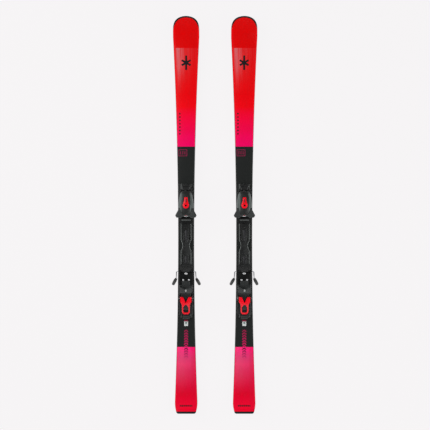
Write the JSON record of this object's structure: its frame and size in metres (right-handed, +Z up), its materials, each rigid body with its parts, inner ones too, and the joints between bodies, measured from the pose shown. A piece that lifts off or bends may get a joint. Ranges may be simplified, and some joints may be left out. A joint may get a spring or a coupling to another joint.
{
  "type": "pair of alpine skis with bindings",
  "caption": "Pair of alpine carving skis, red fading to black, with track-mounted step-in bindings, ski brakes down and heels open.",
  "frame": {"origin": "on the ground under the middle of the pair, half way along the skis", "axes": "+Y to the ski tips, +X to the right-hand ski, +Z up; the base is level under the bindings"},
  "size_m": [0.373, 1.7, 0.1343],
  "materials": {
    "topsheet": "gloss, printed red and black",
    "black_base": "sintered, satin",
    "black_abs": "satin",
    "edge_steel": "ground",
    "wood": "raw, laminated",
    "binding_black": "fine grain",
    "binding_grey": "fine grain",
    "binding_red": "satin gloss",
    "bright_steel": "bright zinc",
    "foot_black": "matte"
  },
  "bodies": {
    "left_ski": {"left_running_base": "black_base", "left_steel_edge": "edge_steel", "left_sidewall": "black_abs", "left_wood_core": "wood", "left_topsheet": "topsheet", "left_tail_guard": "black_abs", "left_toe_track": "binding_black", "left_heel_track": "binding_black"},
    "left_toe": {"left_toe_carriage": "binding_grey", "left_toe_housing": "binding_black", "left_toe_insert": "binding_red", "left_toe_spring": "bright_steel"},
    "left_toe_lock": {"left_toe_lock_lever": "binding_black"},
    "left_toe_wing_l": {"left_toe_wing_left": "binding_grey"},
    "left_toe_wing_r": {"left_toe_wing_right": "binding_grey"},
    "left_afd": {"left_toe_afd": "binding_black"},
    "left_toe_screw": {"left_toe_din_screw": "bright_steel"},
    "left_toe_nut": {"left_toe_tension_nut": "bright_steel"},
    "left_heel": {"left_heel_carriage": "binding_grey", "left_heel_axle": "bright_steel", "left_brake_base": "binding_grey"},
    "left_heel_lock": {"left_heel_lock_lever": "binding_black"},
    "left_cup": {"left_heel_cup": "binding_black", "left_heel_spring": "bright_steel"},
    "left_lever": {"left_heel_lever": "binding_red"},
    "left_heel_screw": {"left_heel_din_screw": "bright_steel"},
    "left_brake": {"left_brake_wire": "bright_steel", "left_brake_foot_left": "foot_black", "left_brake_foot_right": "foot_black"},
    "left_pedal": {"left_brake_pedal": "binding_black"},
    "right_ski": {"right_running_base": "black_base", "right_steel_edge": "edge_steel", "right_sidewall": "black_abs", "right_wood_core": "wood", "right_topsheet": "topsheet", "right_tail_guard": "black_abs", "right_toe_track": "binding_black", "right_heel_track": "binding_black"},
    "right_toe": {"right_toe_carriage": "binding_grey", "right_toe_housing": "binding_black", "right_toe_insert": "binding_red", "right_toe_spring": "bright_steel"},
    "right_toe_lock": {"right_toe_lock_lever": "binding_black"},
    "right_toe_wing_l": {"right_toe_wing_left": "binding_grey"},
    "right_toe_wing_r": {"right_toe_wing_right": "binding_grey"},
    "right_afd": {"right_toe_afd": "binding_black"},
    "right_toe_screw": {"right_toe_din_screw": "bright_steel"},
    "right_toe_nut": {"right_toe_tension_nut": "bright_steel"},
    "right_heel": {"right_heel_carriage": "binding_grey", "right_heel_axle": "bright_steel", "right_brake_base": "binding_grey"},
    "right_heel_lock": {"right_heel_lock_lever": "binding_black"},
    "right_cup": {"right_heel_cup": "binding_black", "right_heel_spring": "bright_steel"},
    "right_lever": {"right_heel_lever": "binding_red"},
    "right_heel_screw": {"right_heel_din_screw": "bright_steel"},
    "right_brake": {"right_brake_wire": "bright_steel", "right_brake_foot_left": "foot_black", "right_brake_foot_right": "foot_black"},
    "right_pedal": {"right_brake_pedal": "binding_black"}
  },
  "joints": [
    {"name": "left_toe_slide", "type": "slide", "parent": "left_ski", "child": "left_toe", "axis": [0, 1, 0], "range_m": [-0.03, 0.02]},
    {"name": "left_toe_lock", "type": "hinge", "parent": "left_toe", "child": "left_toe_lock", "pos_m": [-0.1245, 0.108, 0.07115], "axis": [1, 0, 0], "range_deg": [0, 40], "stiffness_Nm_per_rad": 0.3, "springref_deg": -22.92},
    {"name": "left_toe_wing_left", "type": "hinge", "parent": "left_toe", "child": "left_toe_wing_l", "pos_m": [-0.1435, 0.016, 0.08465], "axis": [0, 0, -1], "range_deg": [0, 32], "stiffness_Nm_per_rad": 12, "springref_deg": -22.92},
    {"name": "left_toe_wing_right", "type": "hinge", "parent": "left_toe", "child": "left_toe_wing_r", "pos_m": [-0.1055, 0.016, 0.08465], "axis": [0, 0, 1], "range_deg": [0, 32], "stiffness_Nm_per_rad": 12, "springref_deg": -22.92},
    {"name": "left_afd_slide", "type": "slide", "parent": "left_toe", "child": "left_afd", "axis": [1, 0, 0], "range_m": [-0.005, 0.005], "stiffness_N_per_m": 400},
    {"name": "left_toe_screw", "type": "hinge", "parent": "left_toe", "child": "left_toe_screw", "pos_m": [-0.1245, 0.1, 0.08665], "axis": [0, 1, 0], "range_deg": [-1081, 1081]},
    {"name": "left_toe_nut", "type": "slide", "parent": "left_toe", "child": "left_toe_nut", "axis": [0, 1, 0], "range_m": [-0.0045, 0.0045], "deforming": ["left_toe_spring"]},
    {"name": "left_heel_slide", "type": "slide", "parent": "left_ski", "child": "left_heel", "axis": [0, 1, 0], "range_m": [-0.03, 0.03]},
    {"name": "left_heel_lock", "type": "hinge", "parent": "left_heel", "child": "left_heel_lock", "pos_m": [-0.1245, -0.4295, 0.07115], "axis": [-1, 0, 0], "range_deg": [0, 40], "stiffness_Nm_per_rad": 0.3, "springref_deg": -22.92},
    {"name": "left_heel_cup", "type": "hinge", "parent": "left_heel", "child": "left_cup", "pos_m": [-0.1245, -0.353, 0.09465], "axis": [-1, 0, 0], "range_deg": [0, 20]},
    {"name": "left_heel_lever", "type": "hinge", "parent": "left_heel", "child": "left_lever", "pos_m": [-0.1245, -0.353, 0.09465], "axis": [-1, 0, 0], "range_deg": [0, 30]},
    {"name": "left_heel_screw", "type": "hinge", "parent": "left_cup", "child": "left_heel_screw", "pos_m": [-0.1245, -0.39973, 0.09147], "axis": [0, -0.9397, -0.342], "range_deg": [-1080, 1080]},
    {"name": "left_brake", "type": "hinge", "parent": "left_heel", "child": "left_brake", "pos_m": [-0.1245, -0.24, 0.07265], "axis": [-1, 0, 0], "range_deg": [0, 46], "stiffness_Nm_per_rad": 1.5, "springref_deg": -114.59},
    {"name": "left_brake_pedal", "type": "hinge", "parent": "left_brake", "child": "left_pedal", "pos_m": [-0.1245, -0.22457, 0.09103], "axis": [-1, 0, 0], "range_deg": [-26, 0]},
    {"name": "right_toe_slide", "type": "slide", "parent": "right_ski", "child": "right_toe", "axis": [0, 1, 0], "range_m": [-0.03, 0.02]},
    {"name": "right_toe_lock", "type": "hinge", "parent": "right_toe", "child": "right_toe_lock", "pos_m": [0.1245, 0.108, 0.07115], "axis": [1, 0, 0], "range_deg": [0, 40], "stiffness_Nm_per_rad": 0.3, "springref_deg": -22.92},
    {"name": "right_toe_wing_left", "type": "hinge", "parent": "right_toe", "child": "right_toe_wing_l", "pos_m": [0.1055, 0.016, 0.08465], "axis": [0, 0, -1], "range_deg": [0, 32], "stiffness_Nm_per_rad": 12, "springref_deg": -22.92},
    {"name": "right_toe_wing_right", "type": "hinge", "parent": "right_toe", "child": "right_toe_wing_r", "pos_m": [0.1435, 0.016, 0.08465], "axis": [0, 0, 1], "range_deg": [0, 32], "stiffness_Nm_per_rad": 12, "springref_deg": -22.92},
    {"name": "right_afd_slide", "type": "slide", "parent": "right_toe", "child": "right_afd", "axis": [1, 0, 0], "range_m": [-0.005, 0.005], "stiffness_N_per_m": 400},
    {"name": "right_toe_screw", "type": "hinge", "parent": "right_toe", "child": "right_toe_screw", "pos_m": [0.1245, 0.1, 0.08665], "axis": [0, 1, 0], "range_deg": [-1081, 1081]},
    {"name": "right_toe_nut", "type": "slide", "parent": "right_toe", "child": "right_toe_nut", "axis": [0, 1, 0], "range_m": [-0.0045, 0.0045], "deforming": ["right_toe_spring"]},
    {"name": "right_heel_slide", "type": "slide", "parent": "right_ski", "child": "right_heel", "axis": [0, 1, 0], "range_m": [-0.03, 0.03]},
    {"name": "right_heel_lock", "type": "hinge", "parent": "right_heel", "child": "right_heel_lock", "pos_m": [0.1245, -0.4295, 0.07115], "axis": [-1, 0, 0], "range_deg": [0, 40], "stiffness_Nm_per_rad": 0.3, "springref_deg": -22.92},
    {"name": "right_heel_cup", "type": "hinge", "parent": "right_heel", "child": "right_cup", "pos_m": [0.1245, -0.353, 0.09465], "axis": [-1, 0, 0], "range_deg": [0, 20]},
    {"name": "right_heel_lever", "type": "hinge", "parent": "right_heel", "child": "right_lever", "pos_m": [0.1245, -0.353, 0.09465], "axis": [-1, 0, 0], "range_deg": [0, 30]},
    {"name": "right_heel_screw", "type": "hinge", "parent": "right_cup", "child": "right_heel_screw", "pos_m": [0.1245, -0.39973, 0.09147], "axis": [0, -0.9397, -0.342], "range_deg": [-1080, 1080]},
    {"name": "right_brake", "type": "hinge", "parent": "right_heel", "child": "right_brake", "pos_m": [0.1245, -0.24, 0.07265], "axis": [-1, 0, 0], "range_deg": [0, 46], "stiffness_Nm_per_rad": 1.5, "springref_deg": -114.59},
    {"name": "right_brake_pedal", "type": "hinge", "parent": "right_brake", "child": "right_pedal", "pos_m": [0.1245, -0.22457, 0.09103], "axis": [-1, 0, 0], "range_deg": [-26, 0]},
    {"name": "right_ski_apart", "type": "slide", "parent": "left_ski", "child": "right_ski", "axis": [1, 0, 0], "range_m": [-0.05, 0.25]}
  ],
  "couplings": [
    {"joint": "left_toe_screw", "follows": "left_toe_nut", "rad_per_m": 4188.8},
    {"joint": "left_heel_lever", "follows": "left_heel_cup", "ratio": 1.5},
    {"joint": "left_brake_pedal", "follows": "left_brake", "ratio": -0.56522},
    {"joint": "right_toe_screw", "follows": "right_toe_nut", "rad_per_m": 4188.8},
    {"joint": "right_heel_lever", "follows": "right_heel_cup", "ratio": 1.5},
    {"joint": "right_brake_pedal", "follows": "right_brake", "ratio": -0.56522}
  ]
}
